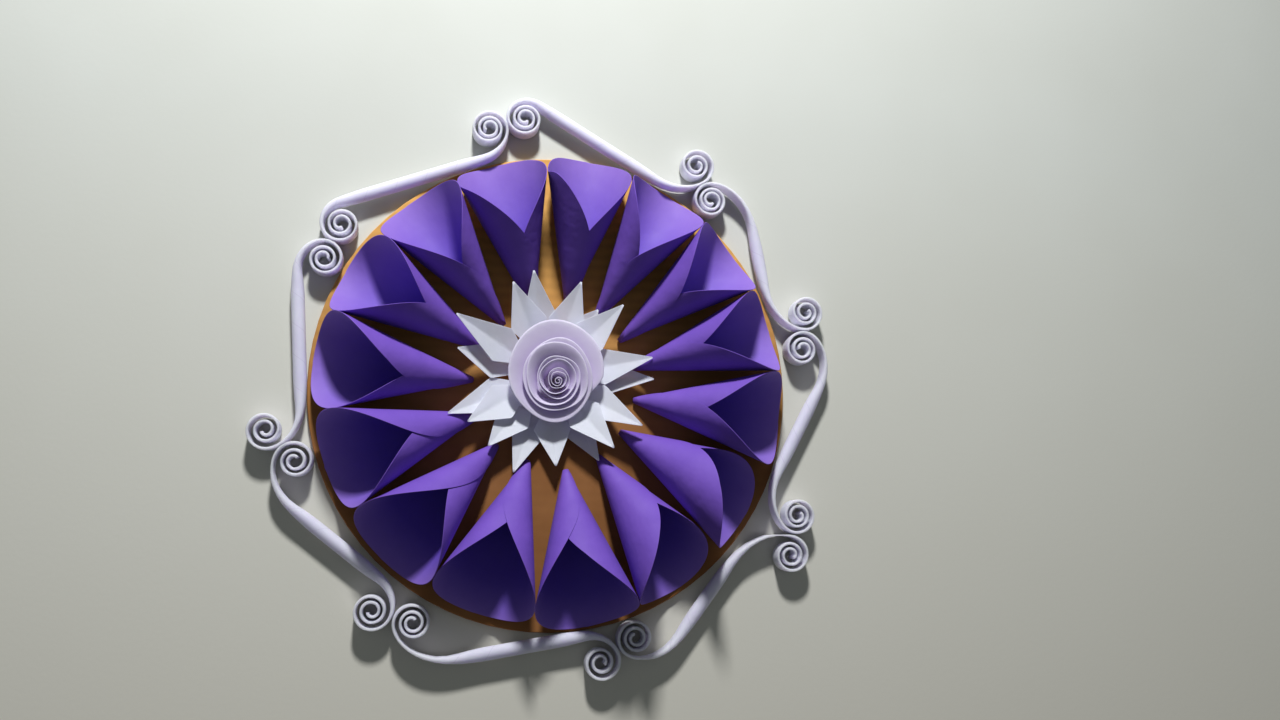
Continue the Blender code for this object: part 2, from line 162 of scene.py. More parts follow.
def remap(tree, value, low, high, to_low=0.0, to_high=1.0):
    """Stretch the range low..high of a value to to_low..to_high, with no overshoot."""
    node = add_node(tree, "ShaderNodeMapRange", Value=value)
    for label, number in zip(("From Min", "From Max", "To Min", "To Max"), (low, high, to_low, to_high)):
        node.inputs[label].default_value = number
    return node.outputs["Result"]


def maths(tree, operation, first, second=0.0):
    """One arithmetic step."""
    node = add_node(tree, "ShaderNodeMath", i0=first, i1=second)
    node.operation = operation
    return node.outputs[0]


def blend_colour(tree, factor, first, second):
    """Mix two colours by a factor."""
    node = tree.nodes.new("ShaderNodeMix")
    node.data_type = "RGBA"
    for index, value in ((0, factor), (6, first), (7, second)):
        if isinstance(value, bpy.types.NodeSocket):
            tree.links.new(value, node.inputs[index])
        else:
            node.inputs[index].default_value = value
    return node.outputs[2]


def noise(tree, vector, scale, detail=2.0, roughness=0.5):
    """A noise texture's grey value."""
    node = add_node(tree, "ShaderNodeTexNoise", Vector=vector, Scale=scale, Detail=detail,
                    Roughness=roughness)
    return node.outputs[0]


def add_socket(group, label, side, default=None):
    """Give a node group a named number socket on its INPUT or OUTPUT side."""
    socket = group.interface.new_socket(label, in_out=side, socket_type="NodeSocketFloat")
    if default is not None:
        socket.default_value = default


print("node helpers ready")

# %% [markdown]
# ## Paper grain
# Craft paper isn't one flat colour: it has short matted fibres, it is slightly cloudy, and it has a
# few faint specks. All the papers and the board share this, so it is a node group that puts out a
# cloud mask, a speck mask and a fibre height. The fibres are a noise stretched along two slanted
# directions, which looks matted without any real strands.

# %% Node group: paper grain
FIBRE_LAYERS = ((0.6, (1.0, 0.22, 0.5)), (-0.9, (0.25, 1.0, 0.6)))      # slant and stretch of each


def build_paper_grain():
    group = bpy.data.node_groups.new("Paper grain", "ShaderNodeTree")
    for label, default in (("Cloud Scale", 55.0), ("Fibre Scale", 1400.0), ("Speck Scale", 900.0)):
        add_socket(group, label, "INPUT", default)
    for label in ("Cloud", "Speck", "Fibre"):
        add_socket(group, label, "OUTPUT")
    given = group.nodes.new("NodeGroupInput")
    place = group.nodes.new("ShaderNodeTexCoord").outputs["Object"]
    cloud = noise(group, place, given.outputs["Cloud Scale"], 3.0, 0.55)
    speck = add_node(group, "ShaderNodeTexVoronoi", Vector=place, Scale=given.outputs["Speck Scale"])
    strands = []
    for turn, stretch in FIBRE_LAYERS:
        mapping = add_node(group, "ShaderNodeMapping", Vector=place, Rotation=(turn, turn * 0.7, turn),
                           Scale=stretch)
        strands.append(noise(group, mapping.outputs[0], given.outputs["Fibre Scale"], 3.0, 0.6))
    fibre = maths(group, "MULTIPLY", maths(group, "ADD", strands[0], strands[1]), 0.5)
    out = group.nodes.new("NodeGroupOutput")
    group.links.new(remap(group, cloud, 0.3, 0.7), out.inputs["Cloud"])
    group.links.new(remap(group, speck.outputs["Distance"], 0.10, 0.05), out.inputs["Speck"])
    group.links.new(fibre, out.inputs["Fibre"])
    return group


paper_grain = build_paper_grain()
print("outputs:", [item.name for item in paper_grain.interface.items_tree if item.in_out == "OUTPUT"])

# %% [markdown]
# ## Edge wear
# Where paper is cut or folded, the fibres show. Each sheet stores a value called rim, 1 on the cut or
# fold and 0 a little way in. The group breaks that band up with noise, so that the wear comes and goes
# along the edge as it does on a handled sheet.

# %% Node group: edge wear
def build_edge_wear():
    group = bpy.data.node_groups.new("Edge wear", "ShaderNodeTree")
    add_socket(group, "Patch Scale", "INPUT", 260.0)
    add_socket(group, "Amount", "INPUT", 0.6)
    add_socket(group, "Wear", "OUTPUT")
    given = group.nodes.new("NodeGroupInput")
    place = group.nodes.new("ShaderNodeTexCoord").outputs["Object"]
    rim = group.nodes.new("ShaderNodeAttribute")
    rim.attribute_name = "rim"
    patches = noise(group, place, given.outputs["Patch Scale"], 3.0, 0.6)
    broken = maths(group, "MULTIPLY", rim.outputs["Fac"], remap(group, patches, 0.35, 0.65, 0.35, 1.0))
    out = group.nodes.new("NodeGroupOutput")
    group.links.new(maths(group, "MULTIPLY", broken, given.outputs["Amount"]), out.inputs["Wear"])
    return group


edge_wear = build_edge_wear()
print("group:", edge_wear.name)

# %% [markdown]
# ## The papers and the board
# Every finish follows the same plan: a base colour that drifts with the cloud mask, faint specks, a
# worn edge, a roughness that varies a little, soft waves from handling and a fine bump from the
# fibres. Only the numbers differ. Paper is matt, so the roughness stays high and the specular level
# low. White paper also lets light through, which is a little subsurface scattering.

# %% A paper finish
FIBRE_HEIGHT = 0.0001
LIGHT_SPREAD = 0.0015         # how far light travels inside a sheet


def use_group(tree, group, **inputs):
    node = tree.nodes.new("ShaderNodeGroup")
    node.node_tree = group
    for label, value in inputs.items():
        node.inputs[label.replace("_", " ")].default_value = value
    return node


def paper_finish(name, colour, dark, worn, speck, roughness=(0.62, 0.78), bump=0.25, cloud_scale=55.0,
                 fibre_scale=1400.0, wear=0.6, specular=0.3, speck_strength=0.25, glow=0.0, painted_shade_colour=None,
                 buckle=0.0002):
    """A matt paper: colour to dark by the cloud mask, worn along rims, speckled and bumped.

    buckle is the height in metres of the soft waves that handling leaves in a sheet.
    glow is the part of the light that spreads inside the sheet and comes out on its other side.
    deep is painted shade: a darker, fuller colour laid on towards a rolled sheet's narrow end.
    """
    material = bpy.data.materials.new(name)
    material.use_nodes = True
    tree = material.node_tree
    shader = tree.nodes["Principled BSDF"]
    shader.inputs["Specular IOR Level"].default_value = specular
    shader.inputs["Subsurface Weight"].default_value = glow
    shader.inputs["Subsurface Radius"].default_value = (1.0, 0.9, 1.0)
    shader.inputs["Subsurface Scale"].default_value = LIGHT_SPREAD
    grain = use_group(tree, paper_grain, Cloud_Scale=cloud_scale, Fibre_Scale=fibre_scale)
    edge = use_group(tree, edge_wear, Amount=wear)
    tint = blend_colour(tree, grain.outputs["Cloud"], (*colour, 1), (*dark, 1))
    # Painted shade: a stored value for each point blends in a darker colour where shade falls inside a
    # roll.
    if painted_shade_colour:
        painted_shade = tree.nodes.new("ShaderNodeAttribute")
        painted_shade.attribute_name = "painted_shade"
        tint = blend_colour(tree, painted_shade.outputs["Fac"], tint, (*painted_shade_colour, 1))
    specks = maths(tree, "MULTIPLY", grain.outputs["Speck"], speck_strength)
    tint = blend_colour(tree, specks, tint, (*speck, 1))
    tint = blend_colour(tree, edge.outputs["Wear"], tint, (*worn, 1))
    tree.links.new(tint, shader.inputs["Base Color"])
    tree.links.new(remap(tree, grain.outputs["Cloud"], 0, 1, *roughness), shader.inputs["Roughness"])
    waves = add_node(tree, "ShaderNodeBump", Strength=1.0, Distance=buckle,
                     Height=grain.outputs["Cloud"])
    fibres = add_node(tree, "ShaderNodeBump", Strength=bump, Distance=FIBRE_HEIGHT,
                      Height=grain.outputs["Fibre"], Normal=waves.outputs[0])
    tree.links.new(fibres.outputs[0], shader.inputs["Normal"])
    return material


print("finish helper ready, fibres", FIBRE_HEIGHT / MM, "mm high")

# %% [markdown]
# Four papers are used. The cones' paper is paler on its inner side than on its outer side. Inside
# the cones a darker, fuller colour towards the tip is painted shade, and so is the darker foot of the
# rose's strip. The star is bluish white, the rose a pale lilac.

# %% The four papers
purple_paper = paper_finish("Purple craft paper", (0.197, 0.092, 0.522), (0.170, 0.078, 0.478),
                            worn=(0.26, 0.15, 0.60), speck=(0.13, 0.06, 0.40), wear=0.12, specular=0.4,
                            buckle=0.00035)
# Painted shade: its dark blue-purple is laid on towards the tips inside the cones.
purple_inside = paper_finish("Purple paper, inner side", (0.325, 0.193, 0.63), (0.29, 0.165, 0.59),
                             worn=(0.34, 0.20, 0.66), speck=(0.20, 0.10, 0.50), wear=0.1, specular=0.4,
                             painted_shade_colour=(0.076, 0.033, 0.45), buckle=0.0002)
white_paper = paper_finish("White craft paper", (0.88, 0.90, 0.99), (0.84, 0.86, 0.97),
                           worn=(0.92, 0.93, 0.99), speck=(0.66, 0.66, 0.78), wear=0.25, glow=0.5)
# Painted shade: its darker lilac is laid on towards the foot of the rose's strip.
lilac_paper = paper_finish("Pale lilac paper", (0.76, 0.68, 0.88), (0.71, 0.62, 0.84),
                           worn=(0.86, 0.81, 0.94), speck=(0.55, 0.47, 0.66), wear=0.6, glow=0.5,
                           painted_shade_colour=(0.47, 0.34, 0.63))
print("papers:", purple_paper.name, "/", white_paper.name, "/", lilac_paper.name)

# %% [markdown]
# The disc is brown board. Its face shows long fibres and a faint ribbing from the fluted layer
# under it, so a stretched noise and a soft wave go over the same paper plan. The board is painted
# darker towards its bottom and paler towards its top, which is painted light and shade.

# %% A board finish
# Painted light and shade: the board's colour goes from dark at the bottom to pale towards the top.
BOARD_PAINTED_LIGHT_SPAN = (-0.03, 0.09)                # heights between which the board grows paler
PAINTED_LIGHT_BOARD = (0.93, 0.50, 0.13, 1)
RIB_SHADE = (0.25, 0.10, 0.03, 1)


def board_finish():
    material = paper_finish("Brown board", (0.34, 0.145, 0.042), (0.27, 0.11, 0.030),
                            worn=(0.60, 0.42, 0.22), speck=(0.24, 0.12, 0.05), roughness=(0.75, 0.9),
                            bump=0.4, cloud_scale=40.0, fibre_scale=700.0, wear=0.6, speck_strength=0.5)
    tree = material.node_tree
    shader = tree.nodes["Principled BSDF"]
    place = tree.nodes.new("ShaderNodeTexCoord").outputs["Object"]
    ribs = add_node(tree, "ShaderNodeTexWave", Vector=place, Scale=55.0, Distortion=1.5, Detail=2.0)
    ribs.bands_direction = "Z"
    stretched = add_node(tree, "ShaderNodeMapping", Vector=place, Scale=(25.0, 1.0, 320.0))
    streaks = noise(tree, stretched.outputs[0], 1.0, 4.0, 0.6)
    tint = shader.inputs["Base Color"].links[0].from_socket
    height = add_node(tree, "ShaderNodeSeparateXYZ", Vector=place).outputs["Z"]
    tint = blend_colour(tree, remap(tree, height, *BOARD_PAINTED_LIGHT_SPAN, 0.0, 0.9), tint, PAINTED_LIGHT_BOARD)
    shade = remap(tree, maths(tree, "ADD", ribs.outputs["Fac"], streaks), 0.4, 1.6, 0.0, 0.17)
    tint = blend_colour(tree, shade, tint, RIB_SHADE)
    tree.links.new(tint, shader.inputs["Base Color"])
    return material


brown_board = board_finish()
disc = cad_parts["backing_disc"]
disc.material_slots[0].material = brown_board
print("board on", disc.name)

# %% [markdown]
# ## The rolled cones
# Each cone is one rounded sheet, rolled until its edges cross in front, so the mouth is cut on a
# slant: long at the back, where it lies on the board, and short at the front, where the flaps make a
# V. A round with its tip on its rim has the outline D cos(angle), and a bulge squares its far corners
# a little. Rolling turns that angle into a larger one round the cone. A cone primitive would have
# neither the slanted mouth nor the overlap, so the sheet follows the solid's own formula.

# %% Cone sizes
SHEET_DIAMETER = 0.083
CONE_PAPER = 0.0003
ROLL_ANGLE = math.radians(115)          # part of the sheet that one full turn takes up
TIP_OPENING = 0.0035                    # distance from the tip at which the roll stays open
WRAP = math.radians(540)
SHEET_BULGE = 0.17

# One value for each cone: how far it stands out over the rim, its clock bearing, how far its seam is
# turned from the front, and which flap lies on top.
OVERHANGS_MM = (0.6, -1.4, -1.5, -2.5, -2, -3, -2.5, -1.2, -4, -2.5, -2.5, -2, -2, -2, -1.2)
CONE_BEARINGS = (8, 30, 52.5, 74, 97.5, 123, 147, 171.5, 199, 224.5, 249.5, 275, 298, 320.5, 344)
SEAM_TURNS = (14, 6, 2, 0, 6, -52, -38, 22, 4, 2, 0, -22, 6, -6, 10)
FLAP_SIDES = (-1, 1, -1, 1, 1, 1, 1, 1, -1, 1, 1, 1, -1, -1, -1)

CORNER_TRIMS = {0: 0.10, 14: 0.05}      # cones whose left corner is cut rounder
CORNER_SPREAD = 0.55                    # radians of roll over which such a cut runs out
HALF_ANGLE = math.asin(ROLL_ANGLE / math.tau)
print("cone half angle:", round(math.degrees(HALF_ANGLE), 1), "degrees")

# %% [markdown]
# A point of the flat sheet has an angle and a distance from the tip. Rolled up, the angle becomes a
# turn round the cone and the distance runs down its side. Each further layer lies one paper thickness
# outside the last. The cone is then tipped until its back lies flat.

# %% A point of the rolled sheet
def cone_point(turn, distance, seam_turn, flap_side):
    """A point of the rolled sheet as (outward, sideways, frontward) from the cone's tip."""
    layer = (CONE_PAPER + GLUE) * turn / math.tau
    ring = distance * math.sin(HALF_ANGLE) + layer * math.cos(HALF_ANGLE)
    along = distance * math.cos(HALF_ANGLE) - layer * math.sin(HALF_ANGLE)
    around = flap_side * turn - seam_turn
    back = ring * math.cos(around)
    outward = along * math.cos(HALF_ANGLE) + back * math.sin(HALF_ANGLE)
    front = along * math.sin(HALF_ANGLE) - back * math.cos(HALF_ANGLE)
    return outward, ring * math.sin(around), front


def sheet_reach(turn):
    """Length of the sheet from its tip to its rim at one angle round the cone."""
    angle = turn * ROLL_ANGLE / math.tau
    bulge = SHEET_BULGE * (math.sin(2 * angle) * math.cos(angle)) ** 2
    return SHEET_DIAMETER * math.cos(angle) * (1 + bulge)


print("sheet at its edges:", round(sheet_reach(WRAP / 2) / MM, 1), "mm of", SHEET_DIAMETER / MM)

# %% [markdown]
# The grid of a cone has one row for each distance from the tip. The mouths stand side by side and
# touch, so each side of a cone is pressed in until it meets the line halfway to its neighbour.

# %% The rows of a cone and its two sides
def cone_grid(seam_turn, flap_side, shares, parts, trim=0.0):
    """Rows from the tip to the mouth, each running once along the whole wrap."""
    rows = []
    for part in parts:
        row = []
        for share in shares:
            turn = WRAP * (share - 0.5)
            off_corner = (flap_side * turn - seam_turn + math.tau * 0.75) % math.tau - math.pi
            reach = sheet_reach(turn) * (1 - trim * math.exp(-(off_corner / CORNER_SPREAD) ** 2))
            distance = TIP_OPENING + (reach - TIP_OPENING) * part
            row.append(cone_point(turn, distance, seam_turn, flap_side))
        rows.append(row)
    return rows


def cone_presses(index, rows, tip_radius):
    """How far each side is pressed in, so that the mouth just meets its neighbours' mouths."""
    bearing = CONE_BEARINGS[index]
    before = (bearing - CONE_BEARINGS[index - 1]) % 360
    after = (CONE_BEARINGS[(index + 1) % len(CONE_BEARINGS)] - bearing) % 360
    points = np.array(rows[0] + rows[-1])
    reach = tip_radius + points[:, 0]
    presses = []
    for side, share in ((-1, before), (1, after)):
        widest = np.max((side * points[:, 1] + CONE_PAPER / 2 + GLUE / 2) / reach)
        presses.append(math.tan(math.radians(share / 2)) / widest)
    return presses


print("rows and sides ready")

# %% [markdown]
# No two cones are rolled alike, so each gets its own slight unevenness, largest at the mouth. A narrow
# row along each cut edge keeps the soft shading from running over it. The sheet also stores how much
# painted shade a point gets: more towards the tip, and more in the lower cones, whose mouths lie in
# shade. Solidify puts the inner side's paper on one face and the outer side's on the other.

# %% One rolled cone
CONE_STEPS = 106
CONE_ROWS = 14
CONE_SHARES = [0.0, 0.0006] + [step / CONE_STEPS for step in range(1, CONE_STEPS)] + [0.9994, 1.0]
CONE_PARTS = [1 - (1 - j / CONE_ROWS) ** 1.5 for j in range(CONE_ROWS)] + [0.9975, 1.0]
COARSE_STEPS = 30             # as many as the solid has, which is enough to find its extent
UNEVEN = 0.0004
UNEVEN_FROM = 0.012           # height above the board at which the unevenness is full
# the most painted shade that a point inside a cone gets
MOST_PAINTED_SHADE = 0.9


def unevenness(part, around, phases):
    """How far a point of the sheet lies out of the true cone, always inwards."""
    waves = math.sin(2 * around + phases[0]) + 0.6 * math.sin(5 * around + phases[1]) - 1.6
    return UNEVEN * part * part * waves


def painted_shade_amount(part, low):
    """How much painted shade the inner side gets: part runs from tip to mouth, low from the top cone to
    the bottom.
    """
    return min(MOST_PAINTED_SHADE, (1.1 + 1.1 * low) * (1 - part) ** 0.9 + 0.3 * low)


def make_cone(index):
    seam = math.radians(SEAM_TURNS[index])
    side_of_flap = FLAP_SIDES[index]
    tip_radius = DISC_RADIUS + OVERHANGS_MM[index] * MM - SHEET_DIAMETER
    coarse_shares = [step / COARSE_STEPS for step in range(COARSE_STEPS + 1)]
    coarse = cone_grid(seam, side_of_flap, coarse_shares, (0, 1))
    presses = cone_presses(index, coarse, tip_radius)
    deepen = 2 - sum(presses) / 2
    seat = DISC_THICKNESS + GLUE + CONE_PAPER / 2 + abs(min(point[2] for point in coarse[1]))
    outward, clockwise = bearing_axes(CONE_BEARINGS[index])
    low = (1 - math.cos(math.radians(CONE_BEARINGS[index]))) / 2
    luck = random.Random(index + 11)
    phases = [luck.uniform(0, math.tau) for _ in range(2)]
    rows = []
    rims = []
    painted_shades = []
    fine = cone_grid(seam, side_of_flap, CONE_SHARES, CONE_PARTS, CORNER_TRIMS.get(index, 0.0))
    for part, local in zip(CONE_PARTS, fine):
        row = []
        for step, (out, side, front) in enumerate(local):
            around = math.atan2(side, max(1e-6, front))
            uneven = unevenness(part, around, phases)
            press = presses[1] if side > 0 else presses[0]
            high = max(0.0, min(1.0, front / UNEVEN_FROM))
            place = outward * (tip_radius + out + uneven * 0.6) + clockwise * side * press
            row.append(place + FRONT * (front * deepen + seat + uneven * high))
            seam_near = min(step, len(local) - 1 - step) < 2
            rims.append(1.0 if part > 0.995 or seam_near else 0.0)
            painted_shades.append(painted_shade_amount(part, low))
        rows.append(row)
    if side_of_flap < 0:
        rows = [row[::-1] for row in rows]
    mesh = grid_mesh("rolled_cone_%02d" % (index + 1), rows)
    add_values(mesh, "rim", rims)
    add_values(mesh, "painted_shade", painted_shades)
    node = "cone_petal_%02d" % (index + 1)
    piece = place_piece(mesh, purple_inside, node)
    mesh.materials.append(purple_paper)
    piece = thicken(piece, CONE_PAPER)
    piece.modifiers[0].material_offset = 1
    piece.modifiers[0].material_offset_rim = 1
    return piece


cones = [make_cone(index) for index in range(len(CONE_BEARINGS))]
print("cones:", len(cones), "with", len(cones[0].data.vertices), "points each")

# %% [markdown]
# ## The star of folded petals
# A petal is a kite of white paper with one crease down its middle, so the two halves rise to the
# sides. The solids already lie on each other and on the cones, so each finer sheet takes its place
# and slope from its solid. Small bends are added, because a hand-folded kite is never quite flat.

# %% Star sizes
STAR_CENTRE = Vector((-0.0035, 0, 0.0062))
STAR_PAPER = 0.0003
STAR_BEARINGS = (337, 350, 18, 36, 46, 80, 91, 119, 139, 149, 175, 199, 219, 238, 247, 284, 300)
STAR_LENGTHS_MM = (50, 53, 50, 43, 52, 54, 55, 54, 50, 51, 47, 53, 48, 48, 55, 48, 55)
INNER_REACH = 0.012
SHOULDER_REACH = 0.028
WIDTHS = (0.002, 0.0195, 0.0007)
CREASE_SLOPE = math.radians(11)
PETAL_ROWS = 24
PETAL_SHARES = [0.0, 0.006] + [i / 16 for i in range(1, 16)] + [0.994, 1.0]
print("star petals:", len(STAR_BEARINGS))

# %% [markdown]
# Where a petal lies is read from its solid: a ray goes in from the front at two places along the
# crease, and the two heights give the slope.

# %% The slope of a petal
RAY_START = -0.2              # well in front of the hanging
RAY_NEAR_END = 0.002          # how far the two rays keep from the petal's ends
RAY_FAR_END = 0.004


def solid_height(node, place):
    """How far the front of a solid stands from the wall at one place."""
    _, spot, _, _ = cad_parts[node].ray_cast(Vector((place.x, RAY_START, place.z)), -FRONT)
    return -spot.y


def petal_plane(node, outward, length):
    """Height at the inner end and slope of a petal's crease, read from its solid."""
    near = INNER_REACH + RAY_NEAR_END
    far = length - RAY_FAR_END
    heights = [solid_height(node, STAR_CENTRE + outward * reach) for reach in (near, far)]
    slope = (heights[1] - heights[0]) / (far - near)
    return heights[0] - slope * (near - INNER_REACH) - STAR_PAPER / 2, slope


first_slope = petal_plane("star_petal_01", bearing_axes(STAR_BEARINGS[0])[0], STAR_LENGTHS_MM[0] * MM)[1]
print("first petal rises at", round(math.degrees(math.atan(first_slope)), 1), "degrees")

# %% [markdown]
# A crease is never quite sharp, so the fold is a very narrow curve. The tip is lifted a little, by a
# different amount on each petal.

# %% One folded petal
CREASE_SOFTNESS = 0.0002
WORN_BAND = 0.0005            # width of the worn band along a petal's edge


def make_star_petal(index):
    node = "star_petal_%02d" % (index + 1)
    outward, clockwise = bearing_axes(STAR_BEARINGS[index])
    length = STAR_LENGTHS_MM[index] * MM
    base, slope = petal_plane(node, outward, length)
    luck = random.Random(index + 101)
    lift = luck.uniform(0.2, 0.9) * MM
    rows = []
    rims = []
    for j in range(PETAL_ROWS + 1):
        reach = INNER_REACH + (length - INNER_REACH) * j / PETAL_ROWS
        width = float(np.interp(reach, (INNER_REACH, SHOULDER_REACH, length), WIDTHS))
        row = []
        for share in PETAL_SHARES:
            side = share - 0.5
            edge = side * width
            fold = math.hypot(edge, CREASE_SOFTNESS) - CREASE_SOFTNESS
            rise = (reach - INNER_REACH) * slope + fold * math.tan(CREASE_SLOPE)
            tip = max(0.0, (reach - SHOULDER_REACH) / (length - SHOULDER_REACH))
            rise += lift * (tip ** 2 - 0.35 * math.sin(math.pi * tip)) * 0.6
            row.append(STAR_CENTRE + outward * reach + clockwise * edge + FRONT * (base + rise))
            near_edge = (0.5 - abs(side)) * width < WORN_BAND and j < PETAL_ROWS - 1
            rims.append(1.0 if near_edge else (0.5 if abs(edge) < CREASE_SOFTNESS else 0.0))
        rows.append(row)
    mesh = grid_mesh("folded_petal_%02d" % (index + 1), rows)
    add_values(mesh, "rim", rims)
    return thicken(place_piece(mesh, white_paper, node), STAR_PAPER)


petals = [make_star_petal(index) for index in range(len(STAR_BEARINGS))]
print("folded petals:", len(petals))

# %% [markdown]
# ## The rose
# The rose is one spiral strip cut from a round sheet, wound from the eye outwards and glued to the
# middle of its own sheet. The inner turns stand close and nearly upright, and the outer ones lean out
# until their inner sides show as broad ledges, widest at the top. A screw would be the same all round,
# so rim and foot are two spirals about drifting middles, and the paper between them bows.

# %% Rose sizes
EYE_CENTRE = (0.0, 0.0012)
RIM_CENTRE = (-0.0008, 0.0044)
FOOT_CENTRE = (-0.0010, 0.0016)
ROSE_TURNS = 8.4
EYE_RADIUS = 0.0008
ROSE_RADIUS = 0.0236
ROSE_SPREAD = 1.45            # the turns lie closer together near the eye
LEANS = (0.30, 0.10)          # part of its radius that a turn leans out, and how much more the last
ROSE_TILT = 0.1               # the upper side lies further from the disc
TOP_FLARE = 0.0030            # how much further the last turn leans out at the top
TALLER = 0.12                 # how much taller than wide the last turn is
LOWER_DROP = 0.55             # part of its height that the last turn loses at the bottom
RIPPLE = 0.00045              # unevenness of the winding
PAIRING = 0.0019              # every second turn lies closer to the one inside it
STRIP_WIDTHS = (0.0088, 0.0096)
ROSE_PAPER = 0.0003
ROSE_STEPS = 72               # steps for each turn
ROSE_ROWS = 10
print("rose turns:", ROSE_TURNS)

# %% [markdown]
# A point of the strip is found from its share of the whole length, 0 in the eye and 1 at the outer
# end, and its part of the width, 0 at the foot and 1 at the rim. The further the rim stands out from
# the foot, the lower it lies, because the strip keeps its width.

# %% A point of the wound strip
def rose_step(share, part):
    """Place along the wall and height above the foot of a point of the strip."""
    angle = math.tau * ROSE_TURNS * share
    ripple = math.sin(2.7 * angle + 1.3) + 0.7 * math.sin(4.3 * angle) + 0.5 * math.sin(1.35 * angle + 2)
    reach = EYE_RADIUS + (ROSE_RADIUS - EYE_RADIUS) * share ** ROSE_SPREAD
    lean = (LEANS[0] + LEANS[1] * share) * reach
    flare = TOP_FLARE * share ** 4 * (0.5 + 0.5 * math.cos(angle + 0.35)) ** 2
    pairing = PAIRING * share * math.cos(angle / 2 + 0.3)
    ripple_reach = RIPPLE * share * ripple + pairing
    away = Vector((math.sin(angle), 0, math.cos(angle)))
    middle = Vector((EYE_CENTRE[0], 0, EYE_CENTRE[1]))
    rim_middle = middle.lerp(Vector((RIM_CENTRE[0], 0, RIM_CENTRE[1])), share)
    foot_middle = middle.lerp(Vector((FOOT_CENTRE[0], 0, FOOT_CENTRE[1])), share)
    taller = Vector((away.x, 0, away.z * (1 + TALLER * share ** 2)))
    rim = rim_middle + taller * (reach + flare + ripple_reach)
    base = foot_middle + away * (reach - lean + ripple_reach * 0.6)
    run = (rim - base).length
    width = STRIP_WIDTHS[0] + (STRIP_WIDTHS[1] - STRIP_WIDTHS[0]) * share
    rise = width / math.sqrt(1 + 1.5 * (run / width) ** 2)
    rise *= 1 - LOWER_DROP * share ** 2 * (0.5 - 0.5 * math.cos(angle))
    part *= min(1.0, (1 - share) * ROSE_TURNS / 0.16 + 0.08)
    place = base.lerp(rim, part ** 1.6)
    height = rise * part ** 0.9 + 0.00035 * share * part * math.sin(1.7 * angle + 0.4)
    return place, height


print("outer rim stands", round(rose_step(0.98, 1.0)[1] / MM, 1), "mm above the foot")

# %% [markdown]
# The rose foot is the solid that the coil is glued to. Its box gives the height at which the strip
# starts. The very rim of a cut strip curls over a little, and only the outer turns show it.

# %% The rose
LIP_FROM = 0.85               # part of the width above which the rim curls over
LIP_CURL = 0.0003


def make_rose():
    steps = round(ROSE_TURNS * ROSE_STEPS)
    foot_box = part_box("rose_foot")
    slope_back = (foot_box[1][2] - foot_box[0][2]) / 2 * ROSE_TILT
    foot_front = -foot_box[0][1] - slope_back + GLUE
    foot_middle_z = (foot_box[0][2] + foot_box[1][2]) / 2
    rows = []
    rims = []
    painted_shades = []
    for j in range(ROSE_ROWS + 1):
        part = 1 - (1 - j / ROSE_ROWS) ** 1.4
        row = []
        for step in range(steps + 1):
            place, height = rose_step(step / steps, part)
            seat = foot_front + (place.z - foot_middle_z) * ROSE_TILT
            lip = max(0.0, part - LIP_FROM) / (1 - LIP_FROM)
            curl = LIP_CURL * lip * lip * step / steps
            row.append(place + FRONT * (seat + height - curl))
            rims.append(1.0 if part > 0.96 else 0.0)
            # Painted shade: darker towards the foot of the strip and in the inner turns, where shade
            # gathers.
            painted_shades.append((1 - part) * (1 - 0.4 * step / steps))
        rows.append(row)
    mesh = grid_mesh("wound_rose", rows)
    add_values(mesh, "rim", rims)
    add_values(mesh, "painted_shade", painted_shades)
    return thicken(place_piece(mesh, lilac_paper, "paper_rose"), ROSE_PAPER)


rose = make_rose()
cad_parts["rose_foot"].material_slots[0].material = lilac_paper
print("rose points:", len(rose.data.vertices))

# %% [markdown]
# ## The frame of curled tubes
# A tube is a sheet rolled slantwise round a thin stick, so a seam runs round it in a long helix. Both
# ends are pressed flat and curled into scrolls. The middle line is computed as in the solids: a
# straight, a quarter turn that tightens to the loop, and a spiral to the eye.

# %% Tube sizes
TUBE_RADIUS = 0.0034
STRIP_WIDTH = 0.0100
STRIP_THICKNESS = 0.0020
TUBE_DEPTH = STRIP_WIDTH / 2 + GLUE
FLATTENING = 0.040
FLATTENING_LEAD = 0.014
LOOP_RADIUS = 0.0094
SCROLL_EYE = 0.0042
TIGHTENING = 1.3
INNER_EYE = 0.0017            # the finer scroll goes on curling to a tighter eye
INNER_TURN = math.radians(230)
INNER_STEPS = 28
FINE_STEPS = 12               # small steps in each 36 degrees of a scroll
TUBE_SPAN_LEAST = 0.055       # between the middles of a tube's two scrolls
TUBE_SPAN_MOST = 0.115

# One value for each tube: the clock bearing of its straight, and for its end, or for both ends, how
# far along the straight it reaches, which way it curls (1 is away from the disc), how far the scroll
# stands off the straight, and through how many degrees it turns.
TUBE_BEARINGS = (339.5, 30.5, 79.5, 118, 127, 171, 218.5, 266)
END_REACH_MM = (13.8, 2.6, -18.6, -3.2, 75.5, 85.9, 75.4, 72.3)
FIRST_START_REACH = -0.0747
START_SIDES = (-1, -1, -1, -1, 1, 1, 1, 1)
END_SIDES = (1, 1, 1, 1, -1, -1, -1, -1)
START_STANDOFF_MM = (11.2, 10.5, 20.3, 17.9, 22.3, 13.1, 13.5, 16.1)
END_STANDOFF_MM = (14, 17.9, 18.8, 18.5, 17.6, 20.6, 17.7, 13)
START_TURNS = (690, 760, 800, 720, 700, 640, 720, 660)
END_TURNS = (800, 700, 720, 760, 720, 740, 690, 700)

print("tubes:", len(TUBE_BEARINGS))

# %% [markdown]
# A scroll is drawn by walking along it: at each small step the heading turns, and the step is as long
# as the radius there. A curve object could be drawn by hand instead, but then the scrolls of two tubes
# wouldn't touch.

